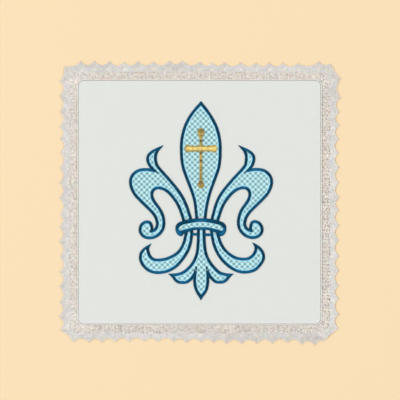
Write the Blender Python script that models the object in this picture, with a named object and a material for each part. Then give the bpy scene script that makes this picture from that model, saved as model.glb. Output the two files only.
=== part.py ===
"""A chalice pall: a stiff square of white linen with a narrow lace edging, embroidered
with a fleur-de-lis in blue satin stitch over an aqua net and with a gold Latin cross.

Metres, +Z up. The pall lies flat with its embroidered face up. The origin is in the
middle of its underside, +X is to the right and +Y points to the tip of the lily.
The tables below are in millimetres and degrees, because the work is that small.
"""
import math

import bpy
import numpy as np
from mathutils import Vector
from mathutils.geometry import delaunay_2d_cdt

MM = 0.001
GAP = 0.3                  # air left between neighbouring pieces

PANEL_SIDE = 160.0         # the linen square, edge to edge
PANEL_THICKNESS = 3.2      # a stiff board folded into linen
PANEL_CORNER_RADIUS = 3.5
CORNER_STEPS = 5           # chords in each rounded corner of the panel and the lace

LACE_WIDTH = 9.8           # from the linen's edge to the line that the teeth stand on
LACE_THICKNESS = 1.0
LACE_LIFT = 1.8            # the lace is sewn on above the table and slopes down to it
LACE_CORNER_RADIUS = 7.0
TOOTH_DEPTH = 2.4
TOOTH_WIDTH = 9.3          # a narrower tooth is less deep in the same measure
VALLEY_ROUNDNESS = 1.5     # power by which a tooth falls from its tip to its valley
TOOTH_POINTS = (0.0, 0.2, 0.5, 0.8)    # from one tip towards the next

SATIN_WIDTH = 1.95         # one column of satin stitch
SATIN_HEIGHT = 0.8
NET_HEIGHT = 0.3
CROSS_HEIGHT = 0.8
EMBLEM_SHIFT = 0.6         # the lily sits a little to the right of the middle
FINE_STEP = 0.2            # spacing along a curve before the points it can spare go
OUTLINE_TOLERANCE = 0.05   # how far an outline may stray from its curve
SAME_POINT = 0.01          # points nearer than this are one point
TRIANGLES_WITHOUT_HOLES = 2    # the kind of filling asked of delaunay_2d_cdt
MITRE_LIMIT = 3.2          # longest pointed corner, in half widths of the column

# The panel's side, from its underside round the rolled edge to its top face.
# Columns: how far in from the panel's edge, height.
PANEL_PROFILE = (
    (1.4, 0.0),
    (0.4, 0.4),
    (0.0, 1.3),
    (0.2, 2.3),
    (1.0, 3.0),
    (1.9, 3.0),
    (2.7, 2.85),
    (3.5, 3.2),
)

# The lace is uneven, so each tooth has its own place and its own reach.
# Columns: place of the tip along its side, anticlockwise from the side's middle, and how
# far the tip is from the linen's edge. A place past 82.8 is in the rounded corner.
LACE_TIPS = {
    "right": (
        (-83.0, 10.7), (-74.0, 11.5), (-63.5, 11.1), (-55.0, 11.1), (-45.0, 11.4),
        (-35.5, 11.3), (-24.5, 11.2), (-15.0, 11.5), (-5.0, 11.2), (3.5, 11.8),
        (13.0, 11.2), (23.5, 11.7), (33.0, 11.1), (42.0, 11.2), (51.0, 11.7),
        (60.0, 11.6), (69.5, 12.6), (82.0, 12.6),
    ),
    "top": (
        (-85.6, 11.9), (-78.8, 12.8), (-65.0, 11.8), (-55.0, 11.9), (-46.0, 12.0),
        (-37.0, 12.0), (-27.0, 12.1), (-16.0, 12.2), (-8.0, 12.1), (0.0, 12.5),
        (12.0, 13.3), (20.0, 13.3), (31.0, 12.7), (41.0, 13.0), (50.0, 12.4),
        (60.0, 12.8), (70.0, 13.0), (79.0, 13.0), (88.3, 12.1),
    ),
    "left": (
        (-80.5, 12.4), (-70.5, 12.5), (-60.0, 12.4), (-50.5, 12.6), (-42.0, 12.0),
        (-33.0, 12.0), (-23.0, 12.4), (-13.0, 12.4), (-3.0, 12.6), (8.0, 12.2),
        (16.0, 12.5), (26.0, 12.6), (36.0, 12.3), (46.0, 12.4), (55.5, 12.5),
        (66.0, 12.4), (75.5, 12.8), (84.0, 11.8),
    ),
    "bottom": (
        (-83.5, 11.6), (-73.5, 12.1), (-65.0, 12.1), (-56.0, 11.8), (-47.0, 11.6),
        (-37.0, 11.5), (-28.0, 11.8), (-17.5, 11.7), (-9.0, 12.4), (1.0, 11.9),
        (9.0, 12.3), (17.5, 12.9), (27.5, 13.0), (37.5, 12.7), (48.0, 12.8),
        (58.0, 12.2), (67.5, 13.4), (76.0, 14.0), (81.5, 11.2),
    ),
}

# Each line of satin stitch runs through its knots, with its heading at each one.
# The right-hand petal and tail, and both halves of the foot, are drawn as if on the left,
# and both halves of the centre petal as if on the right. The two sides aren't quite even.
# Columns: x, y, heading, heading after the knot (None where the line doesn't turn).
CENTRE_PETAL_RIGHT_HALF = (
    (2.8, -9.7, 85, None),
    (4.9, 2.8, 76, None),
    (11.0, 20.6, 71, None),
    (12.7, 36.0, 90, None),
    (7.4, 55.4, 121, None),
    (0.0, 65.5, 133, None),
)
CENTRE_PETAL_LEFT_HALF = (
    (2.8, -9.7, 85, None),
    (4.5, 2.8, 75, None),
    (10.9, 20.6, 71, None),
    (12.9, 36.0, 90, None),
    (7.7, 55.8, 121, None),
    (0.0, 65.5, 133, None),
)
LEFT_PETAL = (
    (-6.9, -10.5, 106, None),
    (-12.5, 3.9, 120, None),
    (-20.8, 14.8, 130, None),
    (-28.6, 23.8, 126, None),
    (-30.1, 29.6, 92, None),
    (-27.8, 35.6, 50, 202),
    (-35.2, 28.6, 272, None),
    (-30.7, 20.9, 312, 164),
    (-38.4, 21.7, 184, None),
    (-46.5, 13.4, 272, None),
    (-41.6, 3.0, 314, None),
    (-33.8, -4.7, 316, None),
    (-28.8, -13.4, 276, None),
    (-32.6, -18.9, 184, 80),
    (-35.4, -12.8, 180, None),
    (-40.2, -17.8, 268, None),
    (-34.1, -23.4, 0, None),
    (-26.5, -19.7, 52, None),
    (-24.5, -12.6, 94, None),
    (-27.1, -4.7, 122, None),
    (-32.5, 5.2, 92, None),
    (-28.2, 9.7, 0, None),
    (-17.0, 1.6, 306, None),
    (-11.5, -11.4, 286, None),
)
RIGHT_PETAL = (
    (-7.5, -10.5, 105, None),
    (-12.4, 4.0, 120, None),
    (-20.8, 14.8, 130, None),
    (-28.8, 23.7, 126, None),
    (-30.1, 29.6, 92, None),
    (-27.8, 35.6, 50, 202),
    (-35.0, 28.8, 272, None),
    (-31.2, 21.1, 312, 166),
    (-38.5, 21.8, 184, None),
    (-46.7, 13.4, 272, None),
    (-41.6, 3.1, 314, None),
    (-33.8, -4.6, 316, None),
    (-28.9, -13.5, 276, None),
    (-33.1, -18.6, 184, 80),
    (-35.6, -12.6, 180, None),
    (-40.4, -17.8, 268, None),
    (-34.3, -23.2, 0, None),
    (-27.0, -19.6, 50, None),
    (-24.8, -12.6, 94, None),
    (-27.2, -4.6, 122, None),
    (-32.4, 5.3, 92, None),
    (-28.3, 9.8, 0, None),
    (-16.8, 1.8, 306, None),
    (-11.2, -11.4, 286, None),
)
LEFT_TAIL = (
    (-9.9, -20.8, 262, None),
    (-13.2, -30.7, 238, None),
    (-22.4, -37.1, 199, None),
    (-28.6, -38.1, 181, None),
    (-34.3, -34.4, 108, None),
    (-35.0, -29.4, 62, 207),
    (-40.0, -36.0, 270, None),
    (-36.4, -43.4, 318, None),
    (-28.4, -46.3, 0, None),
    (-14.6, -40.3, 48, None),
    (-7.6, -29.1, 71, None),
    (-6.1, -19.4, 87, None),
)
RIGHT_TAIL = (
    (-11.7, -23.0, 257, None),
    (-15.0, -30.4, 235, None),
    (-22.4, -36.4, 205, None),
    (-28.4, -37.5, 182, None),
    (-35.2, -33.9, 122, None),
    (-36.1, -28.5, 64, 206),
    (-41.4, -36.0, 270, None),
    (-37.9, -42.5, 310, None),
    (-28.8, -46.0, 0, None),
    (-15.9, -39.8, 44, None),
    (-9.2, -29.3, 70, None),
    (-7.1, -19.5, 82, None),
)
FOOT_LEFT_HALF = (
    (-1.6, -18.4, 270, None),
    (-2.1, -31.0, 264, None),
    (-7.0, -42.3, 229, None),
    (-13.6, -47.1, 199, None),
    (-19.2, -48.0, 184, 318),
    (-15.8, -52.0, 326, None),
    (-10.9, -52.8, 4, None),
    (-6.7, -50.6, 47, None),
    (-3.7, -45.7, 66, 266),
    (-4.1, -51.6, 271, None),
    (-2.9, -57.9, 293, None),
    (0.0, -62.7, 303, None),
)
FOOT_RIGHT_HALF = (
    (-2.0, -18.4, 270, None),
    (-2.7, -31.0, 262, None),
    (-7.6, -41.8, 229, None),
    (-13.6, -47.0, 199, None),
    (-19.3, -48.0, 184, 318),
    (-15.9, -51.8, 324, None),
    (-11.0, -52.6, 4, None),
    (-7.3, -50.2, 47, None),
    (-4.4, -45.6, 64, 267),
    (-4.5, -51.6, 271, None),
    (-3.3, -58.0, 293, None),
    (0.0, -62.7, 303, None),
)
BAND_OUTSIDE_LEFT_HALF = (
    (0.0, -10.4, 180, None),
    (-7.0, -10.9, 190, None),
    (-13.7, -12.7, 200, None),
    (-16.9, -16.6, 268, None),
    (-13.2, -22.4, 350, None),
    (-11.7, -20.9, 80, 33),
    (-6.4, -18.8, 20, None),
    (0.0, -18.0, 0, None),
)
BAND_INSIDE_LEFT_HALF = (
    (0.0, -12.7, 180, None),
    (-7.0, -13.6, 190, None),
    (-13.3, -15.0, 196, None),
    (-15.0, -16.6, 262, None),
    (-13.9, -18.9, 300, 25),
    (-7.0, -16.9, 16, None),
    (0.0, -16.3, 0, None),
)
# The far rim of the band, seen as one short bar on each side of the foot's stem.
# Columns: x, y, length.
RIM_BARS = {"left": (-3.9, -21.0, 2.0), "right": (4.75, -21.3, 2.7)}
RIM_WIDTH = 1.8

# Right half of the gold cross, from the top of its upright to the bottom.
# Columns: x, y, each a corner of a straight-sided outline.
CROSS_RIGHT_HALF = (
    (0.0, 49.0),
    (1.3, 48.4),
    (2.1, 46.6),
    (1.9, 44.4),
    (1.3, 42.4),
    (1.3, 39.0),
    (2.6, 37.6),
    (6.6, 37.5),
    (8.6, 38.4),
    (10.0, 38.0),
    (10.4, 35.8),
    (10.0, 33.6),
    (8.6, 33.2),
    (6.6, 34.1),
    (2.6, 34.0),
    (1.3, 32.6),
    (1.3, 14.8),
    (2.1, 13.2),
    (2.2, 11.2),
    (1.2, 9.8),
    (0.0, 9.4),
)


def material(name, colour, roughness, metallic=0.0):
    """A plain Principled finish in the piece's own colour."""
    made = bpy.data.materials.new(name)
    made.use_nodes = True
    shader = made.node_tree.nodes["Principled BSDF"]
    shader.inputs["Base Color"].default_value = (*colour, 1.0)
    shader.inputs["Roughness"].default_value = roughness
    shader.inputs["Metallic"].default_value = metallic
    return made


def heading_vector(degrees):
    return np.array([math.cos(math.radians(degrees)), math.sin(math.radians(degrees))])


def stretches(knots):
    """Smooth runs of points through the knots, a new run after each sharp turn.

    Between two knots the line is a cubic that leaves and arrives on their headings.
    The pull at both ends is the chord over the squared cosine of a quarter of the
    turn, which makes an even bend an arc of a circle.
    """
    runs = [[]]
    for (x0, y0, turn_in, turn_out), (x1, y1, arrive, after) in zip(knots, knots[1:]):
        start, end = np.array([x0, y0]), np.array([x1, y1])
        depart = turn_in if turn_out is None else turn_out
        turn = (arrive - depart + 180) % 360 - 180
        pull = np.linalg.norm(end - start) / math.cos(math.radians(turn / 4)) ** 2
        leave, land = heading_vector(depart) * pull, heading_vector(arrive) * pull
        t = np.linspace(0.0, 1.0, max(3, round(pull / FINE_STEP)))[:, None]
        points = (
            (2 * t**3 - 3 * t**2 + 1) * start
            + (t**3 - 2 * t**2 + t) * leave
            + (3 * t**2 - 2 * t**3) * end
            + (t**3 - t**2) * land
        )
        runs[-1].append(points if not runs[-1] else points[1:])
        if after is not None:
            runs.append([])
    return [np.vstack(run) for run in runs if run]


def mirrored(runs):
    """The same runs on the other side of the lily's axis, still end to end."""
    return [run[::-1] * (-1.0, 1.0) for run in reversed(runs)]


def left_normals(run):
    along = np.gradient(run, axis=0)
    along /= np.linalg.norm(along, axis=1)[:, None]
    return np.column_stack([-along[:, 1], along[:, 0]])


def distance_to(line, points):
    """How far each point is from a polyline."""
    start, step = line[:-1], np.diff(line, axis=0)
    length2 = np.maximum((step**2).sum(axis=1), 1e-12)
    nearest = np.full(len(points), np.inf)
    for first in range(0, len(points), 200):
        away = points[first:first + 200, None, :] - start
        t = np.clip((away * step).sum(axis=2) / length2, 0.0, 1.0)
        gap = np.linalg.norm(away - t[:, :, None] * step, axis=2)
        nearest[first:first + 200] = gap.min(axis=1)
    return nearest


def beside(runs, distance):
    """The line that stays a fixed distance to the left of the runs (or right, if < 0).

    Sharp turns get a pointed corner, and what would fold over itself is dropped.
    """
    pieces = []
    for index, run in enumerate(runs):
        normals = left_normals(run)
        pieces.append(run + normals * distance)
        if index + 1 < len(runs):
            both = normals[-1] + left_normals(runs[index + 1])[0]
            reach = min(2.0 / np.linalg.norm(both), MITRE_LIMIT)
            pieces.append((run[-1] + both / np.linalg.norm(both) * distance * reach)[None])
    points = np.vstack(pieces)
    clear = distance_to(np.vstack(runs), points) > abs(distance) - 0.02
    return points[clear]


def simplified(line, tolerance=OUTLINE_TOLERANCE):
    """The same polyline with only the points that its shape needs, none twice."""
    moved = np.linalg.norm(np.diff(line, axis=0), axis=1) > SAME_POINT
    line = line[np.append(True, moved)]
    keep = {0, len(line) - 1}
    spans = [(0, len(line) - 1)]
    while spans:
        first, last = spans.pop()
        if last - first < 2:
            continue
        chord = line[[first, last]]
        if np.allclose(chord[0], chord[1]):
            away = np.linalg.norm(line[first + 1:last] - chord[0], axis=1)
        else:
            away = distance_to(chord, line[first + 1:last])
        if away.max() > tolerance:
            middle = first + 1 + int(away.argmax())
            keep.add(middle)
            spans += [(first, middle), (middle, last)]
    closed = np.linalg.norm(line[0] - line[-1]) < SAME_POINT
    return line[sorted(keep)[:-1] if closed else sorted(keep)]


def closed_area(loop):
    x, y = loop[:, 0], loop[:, 1]
    return 0.5 * float(np.sum(x * np.roll(y, -1) - np.roll(x, -1) * y))


def counterclockwise(loop):
    return loop if closed_area(loop) > 0 else loop[::-1]


def add_object(name, vertices, faces, finish):
    mesh = bpy.data.meshes.new(name)
    mesh.from_pydata([Vector(v) * MM for v in vertices], [], faces)
    mesh.materials.append(finish)
    made = bpy.data.objects.new(name, mesh)
    bpy.context.scene.collection.objects.link(made)
    return made


def slab(name, loops, bottom, top, finish, lifts=(0.0, 0.0)):
    """A closed solid between two heights: the first loop outside, the rest holes.

    The outside loop and the holes can be lifted by different amounts, which makes a slope.
    """
    loops = [counterclockwise(loops[0])] + [counterclockwise(hole)[::-1] for hole in loops[1:]]
    points = np.vstack(loops)
    count = len(points)
    rims, first = [], 0
    for loop in loops:
        rims.append(list(range(first, first + len(loop))))
        first += len(loop)
    flat = [Vector(point) for point in points]
    caps = delaunay_2d_cdt(flat, [], rims, TRIANGLES_WITHOUT_HOLES, SAME_POINT / 2)[2]
    faces = []
    for a, b, c in caps:
        faces.append((a + count, b + count, c + count))
        faces.append((c, b, a))
    for rim in rims:
        for here, after in zip(rim, rim[1:] + rim[:1]):
            faces.append((here, after, after + count, here + count))
    lift = np.where(np.arange(count) < len(loops[0]), lifts[0], lifts[1])
    heights = np.repeat([bottom, top], count) + np.tile(lift, 2)
    vertices = np.column_stack([np.vstack([points, points]), heights])
    return add_object(name, vertices, faces, finish)


def rounded_square(half, radius, steps=CORNER_STEPS):
    """Corner points of a square with rounded corners, anticlockwise."""
    angles = np.radians(np.linspace(0.0, 90.0, steps + 1))
    quarter = (half - radius) + radius * np.column_stack([np.cos(angles), np.sin(angles)])
    turned = [quarter]
    for _ in range(3):
        turned.append(turned[-1] @ np.array([[0.0, 1.0], [-1.0, 0.0]]))
    return np.vstack(turned)


def linen_panel(finish):
    """The stiff square with its rolled edge, lofted up through its profile."""
    rings = []
    for inset, height in PANEL_PROFILE:
        radius = max(PANEL_CORNER_RADIUS - inset, 0.4)
        ring = rounded_square(PANEL_SIDE / 2 - inset, radius)
        rings.append(np.column_stack([ring, np.full(len(ring), height)]))
    size = len(rings[0])
    faces = [tuple(range(size))[::-1]]
    for level in range(len(rings) - 1):
        for k in range(size):
            here, after = level * size + k, level * size + (k + 1) % size
            faces.append((here, after, after + size, here + size))
    faces.append(tuple(range((len(rings) - 1) * size, len(rings) * size)))
    return add_object("linen_panel", np.vstack(rings), faces, finish)


def round_the_square(s, half, radius):
    """The point a distance s round a rounded square, and the angle it faces.

    The distance is taken anticlockwise from the middle of the right-hand side.
    """
    straight, arc = 2 * (half - radius), radius * math.pi / 2
    side, along = divmod(s + straight / 2, straight + arc)
    angle = max(0.0, along - straight) / radius
    x = half - radius + radius * math.cos(angle)
    y = min(along, straight) - straight / 2 + radius * math.sin(angle)
    turn = side * math.pi / 2
    point = np.array([x, y]) @ np.array([
        [math.cos(turn), math.sin(turn)],
        [-math.sin(turn), math.cos(turn)],
    ])
    return point, angle + turn


def lace_outside():
    """The toothed outer edge: pointed tips with rounded valleys between them.

    A tooth falls from its tip to the valley as a power of the way there. The valley is
    TOOTH_DEPTH lower than the tips on both sides of it on average.
    """
    half = PANEL_SIDE / 2 + LACE_WIDTH
    quarter = 2 * (half - LACE_CORNER_RADIUS) + LACE_CORNER_RADIUS * math.pi / 2
    tips = [
        (side * quarter + place, reach - LACE_WIDTH)
        for side, row in enumerate(LACE_TIPS.values())
        for place, reach in row
    ]
    tips.append((tips[0][0] + 4 * quarter, tips[0][1]))
    points = []
    for (s0, out0), (s1, out1) in zip(tips, tips[1:]):
        depth = TOOTH_DEPTH * min((s1 - s0) / TOOTH_WIDTH, 1.0)
        valley = (out0 + out1) / 2 - depth
        for across in TOOTH_POINTS:
            s = s0 + (s1 - s0) * across
            tip = out0 if across < 0.5 else out1
            out = valley + (tip - valley) * abs(2 * across - 1) ** VALLEY_ROUNDNESS
            point, facing = round_the_square(s, half, LACE_CORNER_RADIUS)
            points.append(point + out * np.array([math.cos(facing), math.sin(facing)]))
    return np.array(points)


def lace_edging(finish):
    inside = rounded_square(PANEL_SIDE / 2 + GAP, PANEL_CORNER_RADIUS + GAP)
    lifts = (0.0, LACE_LIFT)
    return slab("lace_edging", [lace_outside(), inside], 0.0, LACE_THICKNESS, finish, lifts)


def shifted(loop):
    return loop + (EMBLEM_SHIFT, 0.0)


def embroidered(name, runs, satin, net, base):
    """One open outline of satin stitch and the net it borders, a gap apart."""
    left = simplified(beside(runs, SATIN_WIDTH / 2))
    right = simplified(beside(runs, -SATIN_WIDTH / 2))
    column = np.vstack([left, right[::-1]])
    slab("satin_" + name, [shifted(column)], base, base + SATIN_HEIGHT, satin)
    inner_side = 1.0 if closed_area(np.vstack(runs)) > 0 else -1.0
    ground = simplified(beside(runs, inner_side * (SATIN_WIDTH / 2 + GAP)))
    slab("net_" + name, [shifted(ground)], base, base + NET_HEIGHT, net)


def both_halves(knots):
    """A whole outline from the knots of its left or right half."""
    runs = stretches(knots)
    return runs + mirrored(runs)


def band(satin, net, base):
    """The band that ties the petals: a thick outline with its net inside."""
    outside = both_halves(BAND_OUTSIDE_LEFT_HALF)
    inside = both_halves(BAND_INSIDE_LEFT_HALF)
    loops = [simplified(np.vstack(runs)) for runs in (outside, inside)]
    slab("satin_band", [shifted(loop) for loop in loops], base, base + SATIN_HEIGHT, satin)
    inner_side = 1.0 if closed_area(np.vstack(inside)) > 0 else -1.0
    ground = simplified(beside(inside, inner_side * GAP))
    slab("net_band", [shifted(ground)], base, base + NET_HEIGHT, net)
    for name, (x, y, length) in RIM_BARS.items():
        along, across = length / 2, RIM_WIDTH / 2
        bar = np.array([(-along, -across), (along, -across), (along, across), (-along, across)])
        slab("satin_rim_" + name, [shifted(bar + (x, y))], base, base + SATIN_HEIGHT, satin)


def lily(satin, net, base):
    """The fleur-de-lis: three petals, the band, two tails and the foot."""
    centre = stretches(CENTRE_PETAL_RIGHT_HALF) + mirrored(stretches(CENTRE_PETAL_LEFT_HALF))
    foot = stretches(FOOT_LEFT_HALF) + mirrored(stretches(FOOT_RIGHT_HALF))
    embroidered("centre_petal", centre, satin, net, base)
    embroidered("left_petal", stretches(LEFT_PETAL), satin, net, base)
    embroidered("right_petal", mirrored(stretches(RIGHT_PETAL)), satin, net, base)
    band(satin, net, base)
    embroidered("left_tail", stretches(LEFT_TAIL), satin, net, base)
    embroidered("right_tail", mirrored(stretches(RIGHT_TAIL)), satin, net, base)
    embroidered("foot", foot, satin, net, base)


def gold_cross(finish, base):
    right = np.array(CROSS_RIGHT_HALF)
    left = right[-2:0:-1] * (-1.0, 1.0)
    outline = np.vstack([right, left])
    slab("gold_cross", [shifted(outline)], base, base + CROSS_HEIGHT, finish)


def build():
    for old in list(bpy.data.objects):
        bpy.data.objects.remove(old)
    linen = material("linen", (0.78, 0.79, 0.76), 0.85)
    lace = material("lace", (0.70, 0.65, 0.59), 0.8)
    satin = material("satin_thread", (0.006, 0.065, 0.16), 0.4)
    net = material("net_thread", (0.42, 0.74, 0.80), 0.5)
    gold = material("gold_thread", (0.72, 0.48, 0.12), 0.35, 0.4)
    linen_panel(linen)
    lace_edging(lace)
    on_linen = PANEL_THICKNESS + GAP
    lily(satin, net, on_linen)
    gold_cross(gold, on_linen + NET_HEIGHT + GAP)


build()
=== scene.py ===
# %% [markdown]
# A chalice pall is a stiff square of linen that covers the cup at the altar. This one has
# a narrow lace edging and an embroidered lily with a small gold cross. The plain solids
# are already packed as a fixed frame, and this lesson dresses them: every thread that can
# be told apart by eye becomes real geometry, and the finer weave and twist are bump.
# The tables are in millimetres and degrees, and each mesh is turned to metres at the end.

# %% Load the frame
import math

import bpy
import numpy as np
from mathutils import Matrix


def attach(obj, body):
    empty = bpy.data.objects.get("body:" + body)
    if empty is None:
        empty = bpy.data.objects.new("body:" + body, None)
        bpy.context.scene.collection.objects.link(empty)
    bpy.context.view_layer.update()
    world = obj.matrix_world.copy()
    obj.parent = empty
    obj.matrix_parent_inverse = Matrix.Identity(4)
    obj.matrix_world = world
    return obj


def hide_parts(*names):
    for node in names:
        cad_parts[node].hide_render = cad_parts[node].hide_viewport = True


MM = 0.001

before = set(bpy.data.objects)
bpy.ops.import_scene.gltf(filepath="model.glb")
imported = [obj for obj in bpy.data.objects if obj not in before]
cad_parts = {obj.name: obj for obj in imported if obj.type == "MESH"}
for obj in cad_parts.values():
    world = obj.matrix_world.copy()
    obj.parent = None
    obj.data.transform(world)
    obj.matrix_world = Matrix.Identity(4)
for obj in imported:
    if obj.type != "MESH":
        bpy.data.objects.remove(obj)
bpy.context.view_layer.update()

# %% [markdown]
# The picture was taken straight down, so the camera hangs over the pall and looks along
# -Z. A long lens from high up keeps the view as flat as in the picture.

# %% The camera over the table
PHOTO_FIELD = 264.4        # millimetres of table that the picture takes in
CAMERA_HEIGHT = 1500.0
CAMERA_NORTH = 1.65        # the pall lies a little below the middle of the picture
SENSOR = 36.0
LINEN_TOP = 3.2            # top face of the linen



def add_object(name, data):
    made = bpy.data.objects.new(name, data)
    bpy.context.scene.collection.objects.link(made)
    return made


camera_data = bpy.data.cameras.new("camera")
camera_data.sensor_width = SENSOR
camera_data.lens = SENSOR * (CAMERA_HEIGHT - LINEN_TOP) / PHOTO_FIELD
camera = add_object("camera", camera_data)
camera.location = (0.0, CAMERA_NORTH * MM, CAMERA_HEIGHT * MM)
bpy.context.scene.camera = camera
bpy.context.scene.view_settings.view_transform = "Standard"
print("lens:", round(camera_data.lens, 1), "mm")

# %% [markdown]
# Flat work is photographed between two soft boxes, here with the stronger one on the left.
# A round thread throws the light of a side lamp up to the camera only if it lies across
# the lamp's direction, so threads that run up the picture shine and threads across it
# stay dark. The sky gives the rest of the light and keeps the shadows pale.

# %% Soft boxes and sky
SKY = 0.50                 # share of the light on a level white card that comes from the sky
LAMP_DISTANCE = 3.2        # metres
LAMP_SIZE = 1.5
WHITE = (1.0, 1.0, 1.0, 1.0)


def soft_box(name, side, lean, share):
    """A square lamp that gives a level white card its share of the light.

    side is the compass direction of the lamp in degrees from +X, lean its height above
    the table in degrees. Irradiance is power * sin(lean) / (pi * distance squared), and a
    card that gets pi is white, so power = share * pi squared * distance squared / sin(lean).
    """
    lamp = bpy.data.lights.new(name, "AREA")
    lamp.size = LAMP_SIZE
    height = math.sin(math.radians(lean))
    lamp.energy = share * (math.pi * LAMP_DISTANCE) ** 2 / height
    placed = add_object(name, lamp)
    flat = math.cos(math.radians(lean)) * LAMP_DISTANCE
    around = math.radians(side)
    placed.location = (flat * math.cos(around), flat * math.sin(around), height * LAMP_DISTANCE)
    placed.rotation_euler = (0.0, math.pi / 2 - math.radians(lean), around)


soft_box("left_box", 174.0, 42.0, 0.315)
soft_box("right_box", 4.0, 48.0, 0.215)

world = bpy.data.worlds.new("sky")
world.use_nodes = True
sky = world.node_tree.nodes["Background"].inputs
sky["Color"].default_value = WHITE
sky["Strength"].default_value = SKY
bpy.context.scene.world = world

# %% [markdown]
# A few helpers are used all through: some for shader nodes, one that turns arrays into a
# mesh, and one that lays a tube round each of many lines at once. Meshes are filled with
# foreach_set, which takes a whole array, so no loop runs over vertices.

# %% Helpers for shader nodes


def add_node(tree, kind, inputs=(), **settings):
    """A new node with its settings, its inputs (by name or number) set or linked."""
    made = tree.nodes.new(kind)
    for key, value in settings.items():
        setattr(made, key, value)
    for key, value in dict(inputs).items():
        if isinstance(value, bpy.types.NodeSocket):
            tree.links.new(value, made.inputs[key])
        else:
            made.inputs[key].default_value = value
    return made


def maths(tree, operation, *values):
    return add_node(tree, "ShaderNodeMath", enumerate(values), operation=operation).outputs[0]


def vector_maths(tree, operation, values):
    return add_node(tree, "ShaderNodeVectorMath", values, operation=operation).outputs[0]


def noise(tree, place, scale, detail):
    inputs = {"Vector": place, "Scale": scale, "Detail": detail}
    return add_node(tree, "ShaderNodeTexNoise", inputs).outputs


def uv_of(tree):
    return add_node(tree, "ShaderNodeUVMap", uv_map="UVMap").outputs[0]


def place_of(tree):
    return add_node(tree, "ShaderNodeTexCoord").outputs["Object"]


def srgb(red, green, blue):
    """A colour as a screen shows it, 0 to 255, turned to the linear values of a shader."""
    shown = np.array([red, green, blue]) / 255.0
    linear = np.where(shown <= 0.04045, shown / 12.92, ((shown + 0.055) / 1.055) ** 2.4)
    return (*linear.tolist(), 1.0)


# %% Helper that turns arrays into a piece


def add_piece(name, vertices, face_groups, uv_groups, finish, tone=None):
    """A smooth mesh that rides on the part's one body. vertices are in millimetres, a
    group of faces has a row for each face, and uv_groups has the same rows of pairs."""
    mesh = bpy.data.meshes.new(name)
    corners = np.concatenate([group.ravel() for group in face_groups])
    sizes = np.concatenate([np.full(len(group), group.shape[1]) for group in face_groups])
    mesh.vertices.add(len(vertices))
    mesh.vertices.foreach_set("co", (vertices * MM).astype(np.float32).ravel())
    mesh.loops.add(len(corners))
    mesh.loops.foreach_set("vertex_index", corners.astype(np.int32))
    mesh.polygons.add(len(sizes))
    mesh.polygons.foreach_set("loop_start", np.append(0, np.cumsum(sizes)[:-1]).astype(np.int32))
    mesh.polygons.foreach_set("use_smooth", np.ones(len(sizes), bool))
    mesh.update(calc_edges=True)
    uv = np.concatenate([group.reshape(-1, 2) for group in uv_groups])
    mesh.uv_layers.new(name="UVMap").uv.foreach_set("vector", uv.astype(np.float32).ravel())
    if tone is not None:
        stored = mesh.attributes.new("tone", "FLOAT", "POINT")
        stored.data.foreach_set("value", np.asarray(tone, np.float32))
    mesh.materials.append(finish)
    made = add_object(name, mesh)
    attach(made, "root")
    print(f"{name}: {int((sizes - 2).sum())} triangles")
    return made


# %% Helper that lays a tube round each of many lines
BLUNT_END = 0.55           # size of the ring at each end of a thread


def unit(vectors):
    return vectors / np.maximum(np.linalg.norm(vectors, axis=-1, keepdims=True), 1e-9)


def lay_threads(name, points, strand, width, height, finish, tone, sides=5):
    """Closed tubes round lines laid end to end in one array; strand is each point's line.

    A ring's corner is the line's point plus cos(a) * width / 2 across the line, which
    stays level, plus sin(a) * height / 2 over it.
    """
    here = np.arange(len(strand))
    parted = strand[1:] != strand[:-1]
    first, last = np.append(True, parted), np.append(parted, True)
    previous, body = here - ~first, here[~last]
    along = unit(points[here + ~last] - points[previous])
    across = unit(np.cross((0.0, 0.0, 1.0), along))
    over = np.cross(along, across)
    size = np.where(first | last, BLUNT_END, 1.0)
    angle = 2 * np.pi * (np.arange(sides) + 0.5) / sides
    ring = (
        points[:, None, :]
        + across[:, None, :] * np.cos(angle)[:, None] * (size * width / 2)[:, None, None]
        + over[:, None, :] * np.sin(angle)[:, None] * (size * height / 2)[:, None, None]
    )
    k = np.arange(sides)
    low, beside_low = body[:, None] * sides + k, body[:, None] * sides + (k + 1) % sides
    quads = np.stack([low, beside_low, beside_low + sides, low + sides], axis=-1)
    caps = [here[first][:, None] * sides + k[::-1], here[last][:, None] * sides + k]
    length = np.linalg.norm(points - points[previous], axis=1).cumsum() * MM
    u0, u1, v0, v1 = np.broadcast_arrays(
        length[body][:, None], length[body + 1][:, None], k / sides, (k + 1) / sides
    )
    quad_uv = np.stack([u0, v0, u0, v1, u1, v1, u1, v0], axis=-1)
    return add_piece(
        name, ring.reshape(-1, 3), [quads.reshape(-1, 4), *caps],
        [quad_uv, *(np.zeros((*cap.shape, 2)) for cap in caps)],
        finish, np.repeat(tone, sides),
    )


def end_to_end(lines):
    """Lines of any length in one array, and the number of the line of each point."""
    strand = np.repeat(np.arange(len(lines)), [len(line) for line in lines])
    return np.vstack(lines), strand


def tones(strand, dice):
    """A number from 0 to 1 for each thread, the same at all its points."""
    return dice.random(int(strand.max()) + 1)[strand]


# %% [markdown]
# A spun thread has two plies wound round each other, so light catches it in short slanting
# dashes. The spun_thread group works that out from the thread's own UV map, where u is the
# length along it and v goes once round it. It gives a height for bump, and a shade that
# also differs from one thread to the next; the shade darkens the grooves between the plies
# as painted shade, and adds spots that are painted glints on metal thread. A second group
# gives pale cotton faint spots.

# %% Node groups for spun thread and a faint tint
PLIES = 2.0
FIBRE_STRETCH = (2500.0, 9.0, 1.0)
# Size of the spots of painted glint and random shade on the threads.
GLINT_SPOTS_PER_METRE = 620.0
TINTS_PER_METRE = 240.0


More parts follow.
